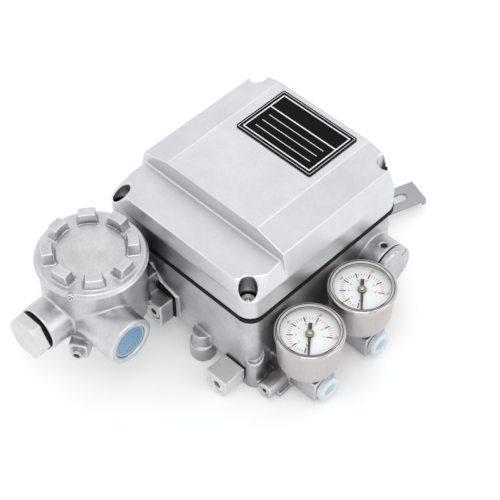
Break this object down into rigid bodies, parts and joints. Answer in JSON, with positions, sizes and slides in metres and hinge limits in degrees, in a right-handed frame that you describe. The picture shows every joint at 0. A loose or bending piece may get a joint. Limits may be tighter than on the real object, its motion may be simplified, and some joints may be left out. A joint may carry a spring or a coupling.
{
  "type": "valve positioner",
  "caption": "Electro-pneumatic valve positioner: die-cast case with a bolted cover, slotted swinging feedback lever, air manifold with dial gauges and a round screw-cap terminal box.",
  "frame": {"origin": "centre of the four mounting feet, on the mounting plane", "axes": "+X towards the pressure gauges, +Y towards the tip of the feedback lever, +Z out of the cover"},
  "size_m": [0.167, 0.2781, 0.1041],
  "materials": {
    "cast_aluminium": "silver-grey painted die casting, fine grain",
    "terminal_aluminium": "light silver-grey painted die casting, fine grain",
    "cover_aluminium": "smooth silver-grey coated die casting",
    "black_rubber": "matt black seal",
    "dark_screw": "dark bright screw",
    "steel_screw": "plain steel",
    "plate_black": "black printed plate with a silver edge",
    "nickel_block": "nickel-plated, satin",
    "light_blue_plug": "translucent light blue plastic",
    "blue_plug": "blue plastic",
    "gauge_steel": "satin stainless steel",
    "bezel_steel": "polished stainless steel",
    "gauge_glass": "clear window",
    "dial_white": "white enamel with a plain scale",
    "pointer_black": "matt black",
    "brass": "plain brass",
    "bronze": "sintered bronze",
    "lever_steel": "plain grey steel sheet",
    "black_plastic": "moulded",
    "white_plastic": "moulded",
    "coil_copper": "taped copper winding"
  },
  "bodies": {
    "frame": {"base_housing": "cast_aluminium", "cover": "cover_aluminium", "cover_gasket": "black_rubber", "cover_screws": "dark_screw", "name_plate": "plate_black", "pilot_cap": "cast_aluminium", "pilot_cap_seal": "black_rubber", "pilot_cap_screws": "steel_screw", "pilot_sleeve": "steel_screw", "outlet_block": "nickel_block", "outlet_block_seal": "black_rubber", "outlet_block_plug": "nickel_block", "gallery_plug": "steel_screw", "supply_dust_plug": "light_blue_plug", "outlet_dust_plug": "light_blue_plug", "supply_gauge_case": "gauge_steel", "supply_gauge_bezel": "bezel_steel", "supply_gauge_window": "gauge_glass", "supply_gauge_dial": "dial_white", "supply_gauge_movement": "brass", "supply_gauge_stem": "brass", "outlet_gauge_case": "gauge_steel", "outlet_gauge_bezel": "bezel_steel", "outlet_gauge_window": "gauge_glass", "outlet_gauge_dial": "dial_white", "outlet_gauge_movement": "brass", "outlet_gauge_stem": "brass", "terminal_housing": "terminal_aluminium", "neck_gasket": "black_rubber", "neck_bolts": "dark_screw", "terminal_block": "black_plastic", "terminal_screws": "steel_screw", "conduit_dust_plug": "blue_plug", "blind_plug": "nickel_block", "blind_plug_ring": "black_rubber", "earth_screw": "steel_screw", "earth_washer": "steel_screw", "shaft_bush": "bronze", "motor_frame": "lever_steel", "motor_coil": "coil_copper", "motor_core": "dark_screw", "flapper_pivot": "steel_screw", "nozzle": "brass", "zero_stud": "steel_screw", "span_stud": "steel_screw"},
    "feedback": {"feedback_shaft": "lever_steel", "feedback_lever": "lever_steel", "lever_washer": "steel_screw", "lever_nut": "steel_screw", "drive_arm": "lever_steel"},
    "cap_ring": {"terminal_cap_ring": "black_rubber"},
    "cap": {"terminal_cap": "terminal_aluminium", "terminal_cap_lock_screw": "dark_screw"},
    "flapper": {"flapper_beam": "lever_steel"},
    "spool": {"pilot_spool": "steel_screw"},
    "zero_wheel": {"zero_wheel": "white_plastic"},
    "span_wheel": {"span_wheel": "white_plastic"},
    "supply_pointer": {"supply_gauge_pointer": "pointer_black"},
    "outlet_pointer": {"outlet_gauge_pointer": "pointer_black"}
  },
  "joints": [
    {"name": "lever_swing", "type": "hinge", "parent": "frame", "child": "feedback", "pos_m": [0, 0.026, 0], "axis": [0, 0, 1], "range_deg": [-12, 48]},
    {"name": "cap_lift", "type": "slide", "parent": "frame", "child": "cap_ring", "axis": [0, 0, 1], "range_m": [0, 0.0062]},
    {"name": "cap_turn", "type": "hinge", "parent": "cap_ring", "child": "cap", "pos_m": [-0.0327, -0.099, 0.08], "axis": [0, 0, 1], "range_deg": [0, 1440]},
    {"name": "flapper_rock", "type": "hinge", "parent": "frame", "child": "flapper", "pos_m": [-0.01, -0.03, 0.0465], "axis": [0, 1, 0], "range_deg": [-1, 1], "stiffness_Nm_per_rad": 0.2},
    {"name": "spool_slide", "type": "slide", "parent": "frame", "child": "spool", "axis": [1, 0, 0], "range_m": [-0.0015, 0.0015], "stiffness_N_per_m": 200},
    {"name": "zero_turn", "type": "hinge", "parent": "frame", "child": "zero_wheel", "pos_m": [0.038, -0.03, 0], "axis": [0, 0, 1], "range_deg": [-540, 540]},
    {"name": "span_turn", "type": "hinge", "parent": "frame", "child": "span_wheel", "pos_m": [0.038, -0.008, 0], "axis": [0, 0, 1], "range_deg": [-540, 540]},
    {"name": "supply_reading", "type": "hinge", "parent": "frame", "child": "supply_pointer", "pos_m": [0.0806, -0.037, 0], "axis": [0, 0, -1], "range_deg": [0, 276], "stiffness_Nm_per_rad": 0.0001},
    {"name": "outlet_reading", "type": "hinge", "parent": "frame", "child": "outlet_pointer", "pos_m": [0.0806, 0.008, 0], "axis": [0, 0, -1], "range_deg": [0, 276], "stiffness_Nm_per_rad": 0.0001}
  ],
  "couplings": [
    {"joint": "cap_lift", "follows": "cap_turn", "m_per_rad": 0.00023873}
  ]
}
